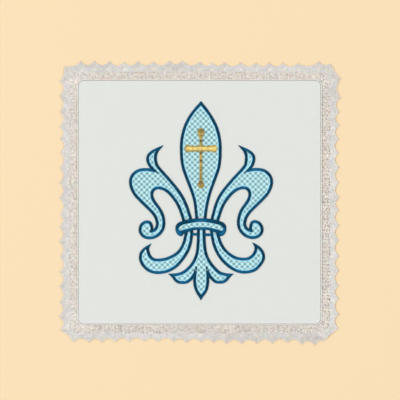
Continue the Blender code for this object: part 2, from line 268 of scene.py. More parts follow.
def new_group(name, inputs, outputs):
    """An empty node group with the default of each number that goes in and the kind of
    each output, and the sockets of its two end nodes."""
    group = bpy.data.node_groups.new(name, "ShaderNodeTree")
    for key, value in inputs.items():
        socket = group.interface.new_socket(key, in_out="INPUT", socket_type="NodeSocketFloat")
        socket.default_value = value
    for key, kind in outputs.items():
        group.interface.new_socket(key, in_out="OUTPUT", socket_type="NodeSocket" + kind)
    print("group:", name, list(inputs), list(outputs))
    return group, group.nodes.new("NodeGroupInput").outputs, group.nodes.new("NodeGroupOutput").inputs


def spun_thread_group():
    """height = 0.25 + 0.35 * sine of (length * twist + turn * plies) + 0.5 * fibre noise;
    shade = 1 + spread * (the thread's own tone - 0.5) + groove * (height - 0.5)
    + spots * (coarse noise - 0.5). The groove term is painted shade between the plies, and
    the spots are painted glints on metal thread and random spots on cotton."""
    group, given, result = new_group(
        "spun_thread",
        {"Twist": 900.0, "Spread": 0.15, "Groove": 0.3, "Fleck": 0.0},
        {"Height": "Float", "Shade": "Float"},
    )
    uv = uv_of(group)
    parts = add_node(group, "ShaderNodeSeparateXYZ", {0: uv}).outputs
    turns = maths(group, "MULTIPLY", parts[0], given["Twist"])
    phase = maths(group, "MULTIPLY_ADD", parts[1], PLIES, turns)
    wave = maths(group, "SINE", maths(group, "MULTIPLY", phase, 2 * math.pi))
    fibres = noise(group, vector_maths(group, "MULTIPLY", {0: uv, 1: FIBRE_STRETCH}), 1.0, 2.0)["Fac"]
    height = maths(group, "MULTIPLY_ADD", wave, 0.35, 0.25)
    height = maths(group, "MULTIPLY_ADD", fibres, 0.5, height)
    tone = add_node(group, "ShaderNodeAttribute", attribute_name="tone").outputs["Fac"]
    coarse = noise(group, place_of(group), GLINT_SPOTS_PER_METRE, 1.0)["Fac"]
    shade = 1.0
    for value, amount in ((tone, "Spread"), (height, "Groove"), (coarse, "Fleck")):
        away = maths(group, "SUBTRACT", value, 0.5)
        shade = maths(group, "MULTIPLY_ADD", away, given[amount], shade)
    group.links.new(height, result["Height"])
    group.links.new(shade, result["Shade"])
    return group


def faint_tint_group():
    """tint = 1 + amount * (a slow noise of three channels - 0.5), a factor for a colour."""
    group, given, result = new_group("faint_tint", {"Amount": 0.4}, {"Tint": "Vector"})
    spots = noise(group, place_of(group), TINTS_PER_METRE, 1.0)["Color"]
    away = vector_maths(group, "SUBTRACT", {0: spots, 1: (0.5, 0.5, 0.5)})
    scaled = vector_maths(group, "SCALE", {0: away, "Scale": given["Amount"]})
    tint = vector_maths(group, "ADD", {0: scaled, 1: (1.0, 1.0, 1.0)})
    group.links.new(tint, result["Tint"])
    return group


spun_thread = spun_thread_group()
faint_tint = faint_tint_group()

# %% [markdown]
# Plain linen is woven one over, one under: its bump is a checkerboard of short rounded
# bars, warp and weft in turn. The yarns are uneven, so a slow noise runs along them.

# %% Node group for plain weave


def plain_weave_group():
    """height = |sine across the yarn| in each square of a checkerboard, warp and weft in
    turn; shade = 1 + spread * slow noise drawn out along the yarns."""
    group, given, result = new_group(
        "plain_weave", {"Yarns": 2000.0, "Spread": 0.04}, {"Height": "Float", "Shade": "Float"}
    )
    scaled = vector_maths(group, "SCALE", {0: uv_of(group), "Scale": given["Yarns"]})
    parts = add_node(group, "ShaderNodeSeparateXYZ", {0: scaled}).outputs
    hills, slubs = [], []
    for axis, stretch in ((0, (1.0, 0.04, 1.0)), (1, (0.04, 1.0, 1.0))):
        sine = maths(group, "SINE", maths(group, "MULTIPLY", parts[axis], math.pi))
        hills.append(maths(group, "POWER", maths(group, "ABSOLUTE", sine), 0.6))
        drawn = vector_maths(group, "MULTIPLY", {0: scaled, 1: stretch})
        slubs.append(noise(group, drawn, 1.0, 1.0)["Fac"])
    checker = add_node(group, "ShaderNodeTexChecker", {"Vector": scaled, "Scale": 1.0}).outputs["Fac"]
    height = add_node(group, "ShaderNodeMix", {"Factor": checker, "A": hills[0], "B": hills[1]})
    both = maths(group, "SUBTRACT", maths(group, "ADD", *slubs), 1.0)
    group.links.new(height.outputs[0], result["Height"])
    group.links.new(maths(group, "MULTIPLY_ADD", both, given["Spread"], 1.0), result["Shade"])
    return group


plain_weave = plain_weave_group()

# %% [markdown]
# Each finish is a Principled shader of its own. Rayon and metallic thread are smooth and
# glossy, cotton is rough, and linen is rough with a faint sheen from its fibre ends.

# %% The finishes
THREAD_BUMP = 0.03         # millimetres
WEAVE_BUMP = 0.05
GROOVE_ROUGHNESS = 0.12    # how much rougher a thread is between its plies


def start_finish(name, **shader_settings):
    """A material, its node tree and the inputs of its shader."""
    made = bpy.data.materials.new(name)
    made.use_nodes = True
    shader = made.node_tree.nodes["Principled BSDF"].inputs
    for key, value in shader_settings.items():
        shader[key.replace("_", " ")].default_value = value
    return made, made.node_tree, shader


def group_in(tree, group, settings):
    """The outputs of a node group with its numbers set."""
    inputs = {key.capitalize(): value for key, value in settings.items()}
    return add_node(tree, "ShaderNodeGroup", inputs, node_tree=group).outputs


def shade_and_bump(tree, shader, colour, group, depth):
    """Links the colour times the group's shade, and its height as bump, in millimetres."""
    shaded = vector_maths(tree, "SCALE", {0: colour[:3], "Scale": group["Shade"]})
    tree.links.new(shaded, shader["Base Color"])
    inputs = {"Height": group["Height"], "Distance": depth * MM, "Strength": 1.0}
    tree.links.new(add_node(tree, "ShaderNodeBump", inputs).outputs[0], shader["Normal"])
    return shaded


def thread_finish(
    name, colour, roughness, metallic=0.0, gloss=0.5, tint=0.0, shine=WHITE, **settings
):
    """Spun thread: colour and roughness go up and down with the plies and the fibres."""
    made, tree, shader = start_finish(
        name, Metallic=metallic, Specular_IOR_Level=gloss, Specular_Tint=shine
    )
    thread = group_in(tree, spun_thread, settings)
    shaded = shade_and_bump(tree, shader, colour, thread, THREAD_BUMP)
    if tint:
        spots = group_in(tree, faint_tint, {"amount": tint})["Tint"]
        tree.links.new(vector_maths(tree, "MULTIPLY", {0: shaded, 1: spots}), shader["Base Color"])
    rough = maths(
        tree, "MULTIPLY_ADD", thread["Height"], -GROOVE_ROUGHNESS, roughness + GROOVE_ROUGHNESS / 2
    )
    tree.links.new(rough, shader["Roughness"])
    return made


def linen_finish():
    made, tree, shader = start_finish("linen_cloth", Roughness=0.85, Sheen_Weight=0.1)
    weave = group_in(tree, plain_weave, {"yarns": 2100.0, "spread": 0.03})
    shade_and_bump(tree, shader, srgb(231, 234, 229), weave, WEAVE_BUMP)
    return made


linen_cloth = linen_finish()
# On the satin and gold, spread sets how strong the painted highlight and painted shade in each stitch's
# tone are.
satin_thread = thread_finish(
    "blue_rayon", srgb(12, 78, 112), 0.36, gloss=0.9, shine=(0.06, 0.55, 1.0, 1.0),
    twist=1100.0, spread=1.7,
)
net_thread = thread_finish(
    "aqua_rayon", srgb(208, 250, 255), 0.38, gloss=0.7, twist=1100.0, spread=0.46
)
edge_thread = thread_finish(
    "pale_aqua_rayon", srgb(178, 238, 255), 0.38, gloss=0.6, twist=1100.0, spread=0.2
)
ground_thread = thread_finish("aqua_ground", srgb(116, 175, 184), 0.55, twist=1100.0, spread=0.2)
gold_thread = thread_finish(
    "gold_metal_thread", srgb(215, 192, 119), 0.3, 0.75, twist=1500.0, spread=0.6, groove=0.4
)
white_thread = thread_finish(
    "white_cotton", srgb(238, 235, 231), 0.6, tint=0.1, twist=700.0, spread=0.2, fleck=0.4
)
# The spots on this metal thread are painted glints.
warm_thread = thread_finish(
    "lace_metal_thread", srgb(249, 242, 234), 0.4, 0.1, tint=0.14, twist=800.0, spread=0.3, fleck=0.85
)
leaf_thread = thread_finish(
    "lace_leaf_thread", srgb(253, 247, 239), 0.35, gloss=0.7, tint=0.08, twist=800.0, spread=0.3
)
pale_table, _, _ = start_finish(
    "pale_table", Base_Color=srgb(251, 226, 186), Roughness=0.9, Specular_IOR_Level=0.1
)
print("finishes:", [material.name for material in bpy.data.materials])

# %% The table
TABLE_SIDE = 3.0
TABLE_DROP = 0.02          # millimetres under the pall, so that the two faces don't flicker

table_mesh = bpy.data.meshes.new("table")
table_corners = [
    (x * TABLE_SIDE / 2, y * TABLE_SIDE / 2, -TABLE_DROP * MM)
    for x, y in ((-1, -1), (1, -1), (1, 1), (-1, 1))
]
table_mesh.from_pydata(table_corners, [], [(0, 1, 2, 3)])
table_mesh.materials.append(pale_table)
table = add_object("table", table_mesh)
print("table:", TABLE_SIDE, "m square")

# %% [markdown]
# The linen is drawn tight over a stiff board and its edge is turned over, so the rim is a
# soft roll with a shallow groove behind it where the hem is stitched down. The surface is
# a profile carried round a rounded square, from the middle of the underside, over the
# roll, to the middle of the top.

# %% Points round a rounded square, and points along a line


def round_square(s, half, radius):
    """The points a distance s round a rounded square, and the angles they face. It starts
    in the middle of the right-hand side and goes anticlockwise: on a straight side only y
    grows, in a corner the point runs round an arc."""
    straight, arc = 2 * (half - radius), radius * np.pi / 2
    side = np.floor((s + straight / 2) / (straight + arc))
    along = s + straight / 2 - side * (straight + arc)
    angle = np.maximum(0.0, along - straight) / radius
    x = half - radius + radius * np.cos(angle)
    y = np.minimum(along, straight) - straight / 2 + radius * np.sin(angle)
    turn = side * np.pi / 2
    point = np.stack([
        x * np.cos(turn) - y * np.sin(turn),
        x * np.sin(turn) + y * np.cos(turn),
    ], axis=-1)
    return point, angle + turn


def smooth_through(knots, count):
    """A Catmull-Rom curve through the knots: count points, evenly spaced in knot number."""
    padded = np.vstack([2 * knots[0] - knots[1], knots, 2 * knots[-1] - knots[-2]])
    place = np.linspace(0, len(knots) - 1, count)
    first = np.minimum(place.astype(int), len(knots) - 2)
    t = (place - first)[:, None]
    a, b, c, d = (padded[first + k] for k in range(4))
    return 0.5 * (
        2 * b + (c - a) * t + (2 * a - 5 * b + 4 * c - d) * t**2 + (3 * b - a - 3 * c + d) * t**3
    )


def walked_along(line):
    """How far each point of a line is from its start, along the line."""
    return np.append(0.0, np.linalg.norm(np.diff(line, axis=0), axis=1).cumsum())


def evenly(line, count):
    """count points at equal distances along a line."""
    walked = walked_along(line)
    marks = np.linspace(0.0, walked[-1], count)
    return np.column_stack([np.interp(marks, walked, line[:, axis]) for axis in (0, 1)])


def spaced(line, pitch):
    """The points of a line at equal distances, near to pitch."""
    return evenly(line, max(2, round(walked_along(line)[-1] / pitch) + 1))


# %% The linen panel
PANEL_SIDE = 160.0
PANEL_CORNER_RADIUS = 3.5
LINEN_STRETCH = (1.0006, 1.0060)       # the drawn cloth is a little taller than wide
LINEN_SHIFT = (-0.25, 0.17)
RIM_PROFILE = np.array([   # how far in from the panel's edge, height
    (2.6, 0.02), (1.3, 0.05), (0.35, 0.5), (0.0, 1.3), (0.0, 2.3), (0.1, 2.96),
    (0.5, 3.17), (1.4, 3.17), (2.2, 3.12), (3.1, 3.17), (4.2, 3.2),
])
RIM_STEPS = 46
SIDE_COLUMNS = 64
CORNER_COLUMNS = 14
FLAT_RINGS = 26            # rings of the flat faces, closer together near the rim
MIDDLE_HALF = 0.6          # half the width of the innermost ring
RIPPLE = 0.05              # how far the drawn linen strays from flat
HEM_PLACE = 1.9            # how far in the stitches of the hem are
HEM_WAVER = 0.03           # how much they pull the groove up and down


def as_drawn(flat):
    """The square as the embroiderer's frame left it, slightly off its true shape."""
    return flat * LINEN_STRETCH + LINEN_SHIFT


def ripple(x, y):
    """Soft unevenness of the drawn cloth: three slow waves across one another."""
    return (
        np.sin(x / 17.0 + 0.4) * np.cos(y / 23.0 - 0.9)
        + 0.6 * np.sin((x + y) / 31.0 + 1.7)
        + 0.4 * np.cos((x - 1.4 * y) / 13.0)
    ) / 2.0


def linen_panel():
    profile = smooth_through(RIM_PROFILE, RIM_STEPS)
    reach = PANEL_SIDE / 2
    inward = np.linspace(0.0, 1.0, FLAT_RINGS + 1)[1:] ** 1.4
    under, top = (end + inward * (reach - MIDDLE_HALF - end) for end in profile[[0, -1], 0])
    inset = np.concatenate([under[::-1], profile[:, 0], top])
    level = np.concatenate([
        np.zeros(FLAT_RINGS), profile[:, 1], np.full(FLAT_RINGS, profile[-1, 1])
    ])
    half = reach - inset[:, None]
    radius = np.minimum(np.maximum(PANEL_CORNER_RADIUS - inset[:, None], MIDDLE_HALF), half * 0.5)
    straight, arc = 2 * (half - radius), radius * np.pi / 2
    one_side = np.concatenate([
        (np.arange(SIDE_COLUMNS) / SIDE_COLUMNS - 0.5) * straight,
        straight / 2 + np.arange(CORNER_COLUMNS) / CORNER_COLUMNS * arc,
    ], axis=1)
    walk = np.concatenate([one_side + turn * (straight + arc) for turn in range(4)], axis=1)
    flat, _ = round_square(walk, half, radius)

    drawn = np.clip((inset - 2.0) / 10.0, 0.0, 1.0)
    hem = np.exp(-((inset - HEM_PLACE) / 1.1) ** 2)
    drawn[:FLAT_RINGS + RIM_STEPS // 2] = hem[:FLAT_RINGS + RIM_STEPS // 2] = 0.0
    turn = walk[-1] / (4 * (straight + arc)[-1]) * 2 * np.pi
    waver = HEM_WAVER * np.sin(turn * 23) + HEM_WAVER * np.sin(turn * 41 + 1.0)
    height = level[:, None] + drawn[:, None] * RIPPLE * ripple(flat[..., 0], flat[..., 1])
    height = height + hem[:, None] * waver
    vertices = np.concatenate([as_drawn(flat), height[..., None]], axis=-1)

    # The map is the cloth laid flat: beyond the top's edge it goes on by the length walked
    # down over the roll.
    down = walked_along(profile)
    rows = slice(FLAT_RINGS, FLAT_RINGS + RIM_STEPS)
    edge = reach - profile[-1, 0]
    square = np.clip(flat[rows], -edge, edge)
    unrolled = flat.copy()
    unrolled[rows] = square + unit(flat[rows] - square) * (down[-1] - down)[:, None, None]
    unrolled = unrolled.reshape(-1, 2) * MM

    rings, count = flat.shape[:2]
    row, column = np.meshgrid(np.arange(rings - 1) * count, np.arange(count), indexing="ij")
    here, next_to = row + column, row + (column + 1) % count
    quads = np.stack([here, next_to, next_to + count, here + count], axis=-1).reshape(-1, 4)
    faces = [quads, np.arange(count)[None, ::-1], (rings - 1) * count + np.arange(count)[None]]
    uv_groups = [unrolled[group] for group in faces]
    return add_piece("linen_square", vertices.reshape(-1, 3), faces, uv_groups, linen_cloth)


linen = linen_panel()
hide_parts("linen_panel")

# %% [markdown]
# The lace is a strip sewn round the square. It is worked out flat, s along the strip and
# d out from the linen, and then bent round the square: a point goes part of the way from
# the inside line to the outside one. At a corner the inside line is far shorter, so the
# lace is drawn together there as on the real edging. Each tooth has its own place and its
# own reach, as the tips show in the picture.

# %% From the flat strip to the square
GAP = 0.3
LACE_WIDTH = 9.8           # from the linen's edge to the line that the teeth stand on
LACE_CORNER_RADIUS = 7.0
LACE_LIFT = 1.8            # the lace is sewn on above the table and slopes down to it
TOOTH_DEPTH = 2.4
TOOTH_WIDTH = 9.3          # a narrower tooth is less deep in the same measure
VALLEY_ROUNDNESS = 1.5
# Columns: place of the tip along its side, anticlockwise from the side's middle, and how
# far the tip is from the linen's edge. A place past 82.8 is in the rounded corner.
LACE_TIPS = {
    "right": (
        (-83.0, 10.7), (-74.0, 11.5), (-63.5, 11.1), (-55.0, 11.1), (-45.0, 11.4),
        (-35.5, 11.3), (-24.5, 11.2), (-15.0, 11.5), (-5.0, 11.2), (3.5, 11.8),
        (13.0, 11.2), (23.5, 11.7), (33.0, 11.1), (42.0, 11.2), (51.0, 11.7),
        (60.0, 11.6), (69.5, 12.6), (82.0, 12.6),
    ),
    "top": (
        (-85.6, 11.9), (-78.8, 12.8), (-65.0, 11.8), (-55.0, 11.9), (-46.0, 12.0),
        (-37.0, 12.0), (-27.0, 12.1), (-16.0, 12.2), (-8.0, 12.1), (0.0, 12.5),
        (12.0, 13.3), (20.0, 13.3), (31.0, 12.7), (41.0, 13.0), (50.0, 12.4),
        (60.0, 12.8), (70.0, 13.0), (79.0, 13.0), (88.3, 12.1),
    ),
    "left": (
        (-80.5, 12.4), (-70.5, 12.5), (-60.0, 12.4), (-50.5, 12.6), (-42.0, 12.0),
        (-33.0, 12.0), (-23.0, 12.4), (-13.0, 12.4), (-3.0, 12.6), (8.0, 12.2),
        (16.0, 12.5), (26.0, 12.6), (36.0, 12.3), (46.0, 12.4), (55.5, 12.5),
        (66.0, 12.4), (75.5, 12.8), (84.0, 11.8),
    ),
    "bottom": (
        (-83.5, 11.6), (-73.5, 12.1), (-65.0, 12.1), (-56.0, 11.8), (-47.0, 11.6),
        (-37.0, 11.5), (-28.0, 11.8), (-17.5, 11.7), (-9.0, 12.4), (1.0, 11.9),
        (9.0, 12.3), (17.5, 12.9), (27.5, 13.0), (37.5, 12.7), (48.0, 12.8),
        (58.0, 12.2), (67.5, 13.4), (76.0, 14.0), (81.5, 11.2),
    ),
}

OUTER_HALF = PANEL_SIDE / 2 + LACE_WIDTH
INNER_HALF = PANEL_SIDE / 2 + GAP
INNER_RADIUS = PANEL_CORNER_RADIUS + GAP
LACE_DEPTH = OUTER_HALF - INNER_HALF       # from the inside line to the teeth's line
OUTER_QUARTER = 2 * (OUTER_HALF - LACE_CORNER_RADIUS) + LACE_CORNER_RADIUS * math.pi / 2
INNER_QUARTER = 2 * (INNER_HALF - INNER_RADIUS) + INNER_RADIUS * math.pi / 2
AROUND = 4 * OUTER_QUARTER
GATHER_FROM = 60.0         # distance from a side's middle at which the gathering starts

tip_s = np.array([
    side * OUTER_QUARTER + place for side, row in enumerate(LACE_TIPS.values()) for place, _ in row
])
tip_out = np.array([reach - LACE_WIDTH for row in LACE_TIPS.values() for _, reach in row])
TEETH = len(tip_s)


def inside_place(s):
    """Where on the inside line the strip's line at s begins: s itself along a side, and
    less and less of it towards a corner, s - c * (s - start) squared."""
    side = np.round(s / OUTER_QUARTER)
    q = s - side * OUTER_QUARTER
    excess = np.maximum(np.abs(q) - GATHER_FROM, 0.0)
    spare = (OUTER_QUARTER - INNER_QUARTER) / 2
    shorter = spare / (OUTER_QUARTER / 2 - GATHER_FROM) ** 2
    return side * INNER_QUARTER + np.sign(q) * (np.abs(q) - shorter * excess**2)


def on_strip(s, d, z):
    """Points of the strip in space, from arrays of the three strip measures."""
    s, d, z = np.broadcast_arrays(np.asarray(s, float), d, z)
    start = as_drawn(round_square(inside_place(s), INNER_HALF, INNER_RADIUS)[0])
    end, facing = round_square(s, OUTER_HALF, LACE_CORNER_RADIUS)
    share = np.minimum(d / LACE_DEPTH, 1.0)
    beyond = np.maximum(d - LACE_DEPTH, 0.0)
    flat = start + (end - start) * share[..., None]
    flat = flat + beyond[..., None] * np.stack([np.cos(facing), np.sin(facing)], axis=-1)
    height = z + LACE_LIFT * (1.0 - share)
    return np.concatenate([flat, height[..., None]], axis=-1)


def strip_lines(s, d, z):
    """Lines over the strip, one for each row of the arrays, and each point's line."""
    points = on_strip(s, d, z)
    strand = np.arange(points.size // 3) // points.shape[-2]
    return points.reshape(-1, 3), strand


def closed_rings(s, d, z):
    """Lines round the whole square, one for each column, their last point on the first."""
    s = np.concatenate([s, s[:1] + AROUND])
    d, z = (np.concatenate([grid, grid[:1]]) for grid in (d, z))
    return strip_lines(s.T, d.T, z.T)


def all_round(count, lines):
    """Places evenly round the strip, the same for each of some lines."""
    return (np.arange(count) * AROUND / count)[:, None] * np.ones((1, lines))


def tooth_at(s):
    """How far the toothed edge is from the inside line at s, and how near s is to a tip,
    from 0 in a valley to 1 on a tip. A tooth falls as a power of the way to its valley."""
    walked = (s - tip_s[0]) % AROUND + tip_s[0]
    first = np.searchsorted(tip_s, walked, side="right") - 1
    after = (first + 1) % TEETH
    between = (tip_s[after] - tip_s[first]) % AROUND
    across = (walked - tip_s[first]) / between
    depth = TOOTH_DEPTH * np.minimum(between / TOOTH_WIDTH, 1.0)
    valley = (tip_out[first] + tip_out[after]) / 2 - depth
    tip = np.where(across < 0.5, tip_out[first], tip_out[after])
    nearness = np.abs(2 * across - 1)
    return LACE_DEPTH + valley + (tip - valley) * nearness**VALLEY_ROUNDNESS, nearness


print("lace: round", round(AROUND, 1), "mm,", TEETH, "teeth")

# %% [markdown]
# The outer half of the lace is cloth stitch: threads that follow the teeth, and threads
# that fan out to the edge over one and under one. Both meet at the points of one grid, so
# a grid point only needs to know which thread is on top. The threads are painted whiter in
# the middle of a tooth than beside its valleys, a painted highlight; the weave is no denser there.

# %% Cloth stitch of the teeth
CLOTH_FROM = 5.3           # where the cloth stitch begins, out from the linen
CLOTH_WAVE = 0.7           # how much further out it begins under a tip
CLOTH_ROWS = 9
FAN_COUNT = 888
FAN_LEAN = 2               # fans by which a thread leans on its way out
FAN_ROOT = 0.5             # how far a fan reaches back into the heading
LACE_MIDDLE = 0.5          # height of the lace's middle over its underside
CLOTH_RISE = 0.1
ROW_WIDTH, RIM_ROW_WIDTH, FAN_WIDTH, CLOTH_THREAD_HEIGHT = 0.5, 0.55, 0.44, 0.28
TOOTH_HEART = 7.6          # how far out the painted highlight of a tooth is strongest
cloth_dice = np.random.default_rng(5)


def slow_noise(dice, length, knots):
    """A smooth random line round the whole lace, about -1 to 1, as a function of s."""
    values = dice.normal(0.0, 0.5, knots)
    places = np.arange(knots + 1) * length / knots
    return lambda s: np.interp(s % length, places, np.append(values, values[0]))


cloth_edge_sway = slow_noise(cloth_dice, AROUND, 190)


def cloth_grid():
    """Places s, d and the side on top (+1 or -1) of the crossings, fans by rows, and the
    painted highlight of each, strongest at the heart of its tooth."""
    fan, row = np.arange(FAN_COUNT)[:, None], np.arange(CLOTH_ROWS)[None, :]
    share = row / (CLOTH_ROWS - 1)
    s = (fan + FAN_LEAN * share) * AROUND / FAN_COUNT
    reach, nearness = tooth_at(s)
    start = CLOTH_FROM + CLOTH_WAVE * nearness + 0.5 * cloth_edge_sway(s)
    d = start + share * (reach - start)
    s = s + cloth_dice.normal(0.0, 0.07, s.shape)
    d = d + cloth_dice.normal(0.0, 0.05, s.shape)
    heart = nearness**2 * np.exp(-((d - TOOTH_HEART) / 1.8) ** 2)
    return s, d, 1.0 - 2.0 * ((fan + row) % 2), heart


grid_s, grid_d, grid_sign, grid_painted_light = cloth_grid()
row_points, row_strand = closed_rings(grid_s, grid_d, LACE_MIDDLE + CLOTH_RISE * grid_sign)
fan_points, fan_strand = strip_lines(
    np.concatenate([grid_s[:, :1], grid_s], axis=1),
    np.concatenate([grid_d[:, :1] - FAN_ROOT, grid_d], axis=1),
    LACE_MIDDLE - CLOTH_RISE * np.concatenate([0 * grid_sign[:, :1], grid_sign], axis=1),
)
cloth_painted_light = np.concatenate([
    np.concatenate([grid_painted_light, grid_painted_light[:1]]).T.ravel(),
    np.concatenate([grid_painted_light[:, :1], grid_painted_light], axis=1).ravel(),
])
cloth_width = np.concatenate([
    np.where(row_strand == CLOTH_ROWS - 1, RIM_ROW_WIDTH, ROW_WIDTH),
    np.full(len(fan_strand), FAN_WIDTH),
])
cloth_strand = np.concatenate([row_strand, row_strand.max() + 1 + fan_strand])
# The tone is a random part for each thread plus the painted highlight in the middle of a tooth.
cloth_stitch = lay_threads(
    "lace_cloth_stitch", np.concatenate([row_points, fan_points]), cloth_strand,
    cloth_width, CLOTH_THREAD_HEIGHT, white_thread,
    0.5 * tones(cloth_strand, cloth_dice) + 0.9 * cloth_painted_light,
)
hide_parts("lace_edging")

# %% [markdown]
# Between the linen and the teeth lies the heading, worked with a warm metallic thread:
# short bars from side to side, two wavy threads that cross like a chain of leaves, small
# raised leaves that catch the light, and fine slanting ground threads. The twisted cord
# along the linen and the loops on the tips are white again.

# %% Bars of the heading
BAR_COUNT = 310
HEADING_FROM = -0.25
HEADING_TO = 6.4
# Heights over the strip's underside: of a thread's middle, and how far it rises from there.
BAR_LEVEL, BAR_ARCH = 0.46, 0.14
CHAIN_LEVEL, CHAIN_WEAVE = 0.64, 0.13
LEAF_LEVEL, LEAF_ARCH = 0.74, 0.16
SLANT_LEVEL, SLANT_STEP = 0.34, 0.06
ROW_LEVEL, ROW_WAVER = 0.44, 0.05
heading_dice = np.random.default_rng(8)


def lace_piece(name, lines, width, height, finish, least=0.0, spread=1.0, sides=5):
    """Threads of the heading, each with its own tone, least plus a random part of spread."""
    points, strand = lines
    tone = least + spread * tones(strand, heading_dice)
    made = lay_threads(name, points, strand, width, height, finish, tone, sides)


def heading_bars():
    """Pairs of threads that part in the middle and meet at both ends, like a slit leaf."""
    share = np.linspace(0.0, 1.0, 8)[None, None, :]
    bar = (np.arange(BAR_COUNT) + 0.5)[:, None, None] * AROUND / BAR_COUNT
    side = np.array([-1.0, 1.0])[None, :, None]
    slant = heading_dice.normal(0.0, 0.4, (BAR_COUNT, 1, 1))
    place = heading_dice.normal(0.0, 0.2, (BAR_COUNT, 1, 1))
    s = bar + place + slant * (share - 0.5) + side * (0.17 + 0.2 * np.sin(np.pi * share))
    d = HEADING_FROM + share * (HEADING_TO - HEADING_FROM)
    return strip_lines(s, d, BAR_LEVEL + BAR_ARCH * np.sin(np.pi * share))


lace_piece("lace_bars", heading_bars(), 0.4, 0.26, warm_thread)

# %% Leaf chain
CHAIN_LEAVES = 150         # leaves round the whole lace
CHAIN_MIDDLE = 2.7
CHAIN_SWING = 1.25

leaf_sway = slow_noise(heading_dice, AROUND, CHAIN_LEAVES)
middle_sway = slow_noise(heading_dice, AROUND, 60)


def leaf_chain():
    """Two waves a half turn apart, each on top at every other crossing."""
    s = all_round(CHAIN_LEAVES * 8, 2)
    side = np.array([[1.0, -1.0]])
    phase = np.pi * s * CHAIN_LEAVES / AROUND
    swing = CHAIN_SWING * (1 + 0.3 * leaf_sway(s))
    d = CHAIN_MIDDLE + 0.3 * middle_sway(s) + side * swing * np.sin(phase)
    return closed_rings(s, d, CHAIN_LEVEL + side * CHAIN_WEAVE * np.cos(phase))


lace_piece("lace_leaf_chain", leaf_chain(), 0.52, 0.34, warm_thread)

# %% Raised leaves
LEAF_COUNT = 420
LEAF_LENGTH = 1.5
LEAF_WIDTH = 0.75
LEAF_ROWS = (1.75, 3.7)    # how far out the leaves lie, on average


def raised_leaves():
    """Short thick stitches that lie over the ground, in two uneven rows."""
    number = np.arange(LEAF_COUNT)
    place = (number + heading_dice.uniform(-0.35, 0.35, LEAF_COUNT)) * AROUND / LEAF_COUNT
    middle = np.where(number % 2, *LEAF_ROWS) + heading_dice.normal(0.0, 0.35, LEAF_COUNT)
    turn = heading_dice.normal(0.0, 0.9, LEAF_COUNT) + np.pi / 2
    length = LEAF_LENGTH * heading_dice.uniform(0.6, 1.2, LEAF_COUNT)
    share = np.linspace(-0.5, 0.5, 5)[None, :]
    s = place[:, None] + share * (length * np.cos(turn))[:, None]
    d = middle[:, None] + share * (length * np.sin(turn))[:, None]
    size = heading_dice.uniform(0.7, 1.1, LEAF_COUNT)[:, None]
    width = LEAF_WIDTH * np.cos(np.pi * share * 0.75) * size
    return strip_lines(s, d, LEAF_LEVEL + LEAF_ARCH * np.cos(np.pi * share)), width.ravel()


leaf_lines, leaf_width = raised_leaves()
lace_piece("lace_leaves", leaf_lines, leaf_width, 0.36, leaf_thread, sides=6)

# %% Twisted cord along the linen
TURNS_OF_CORD = 380
CORD_THREAD = 0.42
CORD_PAINTED_LIGHT = 1.0            # the cord is painted whiter than the threads beside it, painted light against the shade in the slot beside the linen


def twisted_cord(middle, radius, height):
    """Two plies on a helix: out by cos, up by sin, half a turn apart."""
    s = all_round(TURNS_OF_CORD * 6, 2)
    phase = 2 * np.pi * s * TURNS_OF_CORD / AROUND + np.array([[0.0, np.pi]])
    return closed_rings(s, middle + radius * np.cos(phase), height + radius * np.sin(phase))


lace_piece(
    "lace_foot_cord", twisted_cord(0.2, 0.2, 0.95), CORD_THREAD, CORD_THREAD, white_thread,
    CORD_PAINTED_LIGHT, 0.4,
)

# %% Fine ground of the heading
GROUND_COUNT = 700
GROUND_LEAN = 3.1
GROUND_ROWS = (0.9, 1.55, 2.3, 3.0, 3.7, 4.4, 5.0)


def ground_threads():
    """Straight threads that slant both ways across the heading."""
    share = np.linspace(0.0, 1.0, 5)[None, None, :]
    s = np.arange(GROUND_COUNT)[:, None, None] * AROUND / GROUND_COUNT
    side = np.array([-1.0, 1.0])[None, :, None]
    uneven = heading_dice.normal(0.0, 0.12, (GROUND_COUNT, 2, 1))
    s = s + side * GROUND_LEAN * (share - 0.5) + uneven
    return strip_lines(s, share * HEADING_TO, SLANT_LEVEL + side * SLANT_STEP)


def ground_rows():
    """Threads along the strip, over and under the slanting ones."""
    s = all_round(900, len(GROUND_ROWS))
    d = np.array(GROUND_ROWS)[None, :] + heading_dice.normal(0.0, 0.09, s.shape)
    return closed_rings(s, d, ROW_LEVEL + heading_dice.normal(0.0, ROW_WAVER, s.shape))


slant_points, slant_strand = ground_threads()
along_points, along_strand = ground_rows()
ground_lines = (
    np.concatenate([slant_points, along_points]),
    np.concatenate([slant_strand, slant_strand.max() + 1 + along_strand]),
)
lace_piece("lace_ground_threads", ground_lines, 0.34, 0.2, warm_thread, sides=4)

# %% Picots on the tips of the teeth
PICOT_WIDTH = 0.42
PICOT_LENGTH = 0.6


def picots():
    """A small loop of thread on each tip: an oval that starts and ends in the tooth."""
    angle = np.linspace(-0.5 * np.pi, 1.5 * np.pi, 11)[None, :]
    s = tip_s[:, None] + PICOT_WIDTH * np.cos(angle)
    d = LACE_DEPTH + tip_out[:, None] + PICOT_LENGTH * (np.sin(angle) + 0.3)
    return strip_lines(s, d, LACE_MIDDLE - 0.1 + 0.05 * np.sin(angle))


lace_piece("lace_picots", picots(), 0.26, 0.26, white_thread)

# %% [markdown]
# The lily is drawn as the embroiderer's guide line: a few knots for each part, each with
# the line's heading there, joined by smooth cubics. Where a line turns sharply, a new run
# of stitches starts. The hand-worked sides aren't quite even, so each has its own knots:
# those of the centre petal as if on the right, all others as if on the left.

# %% Guide lines of the lily
EMBLEM_SHIFT = 0.6
FINE_STEP = 0.2
SATIN_WIDTH = 2.0

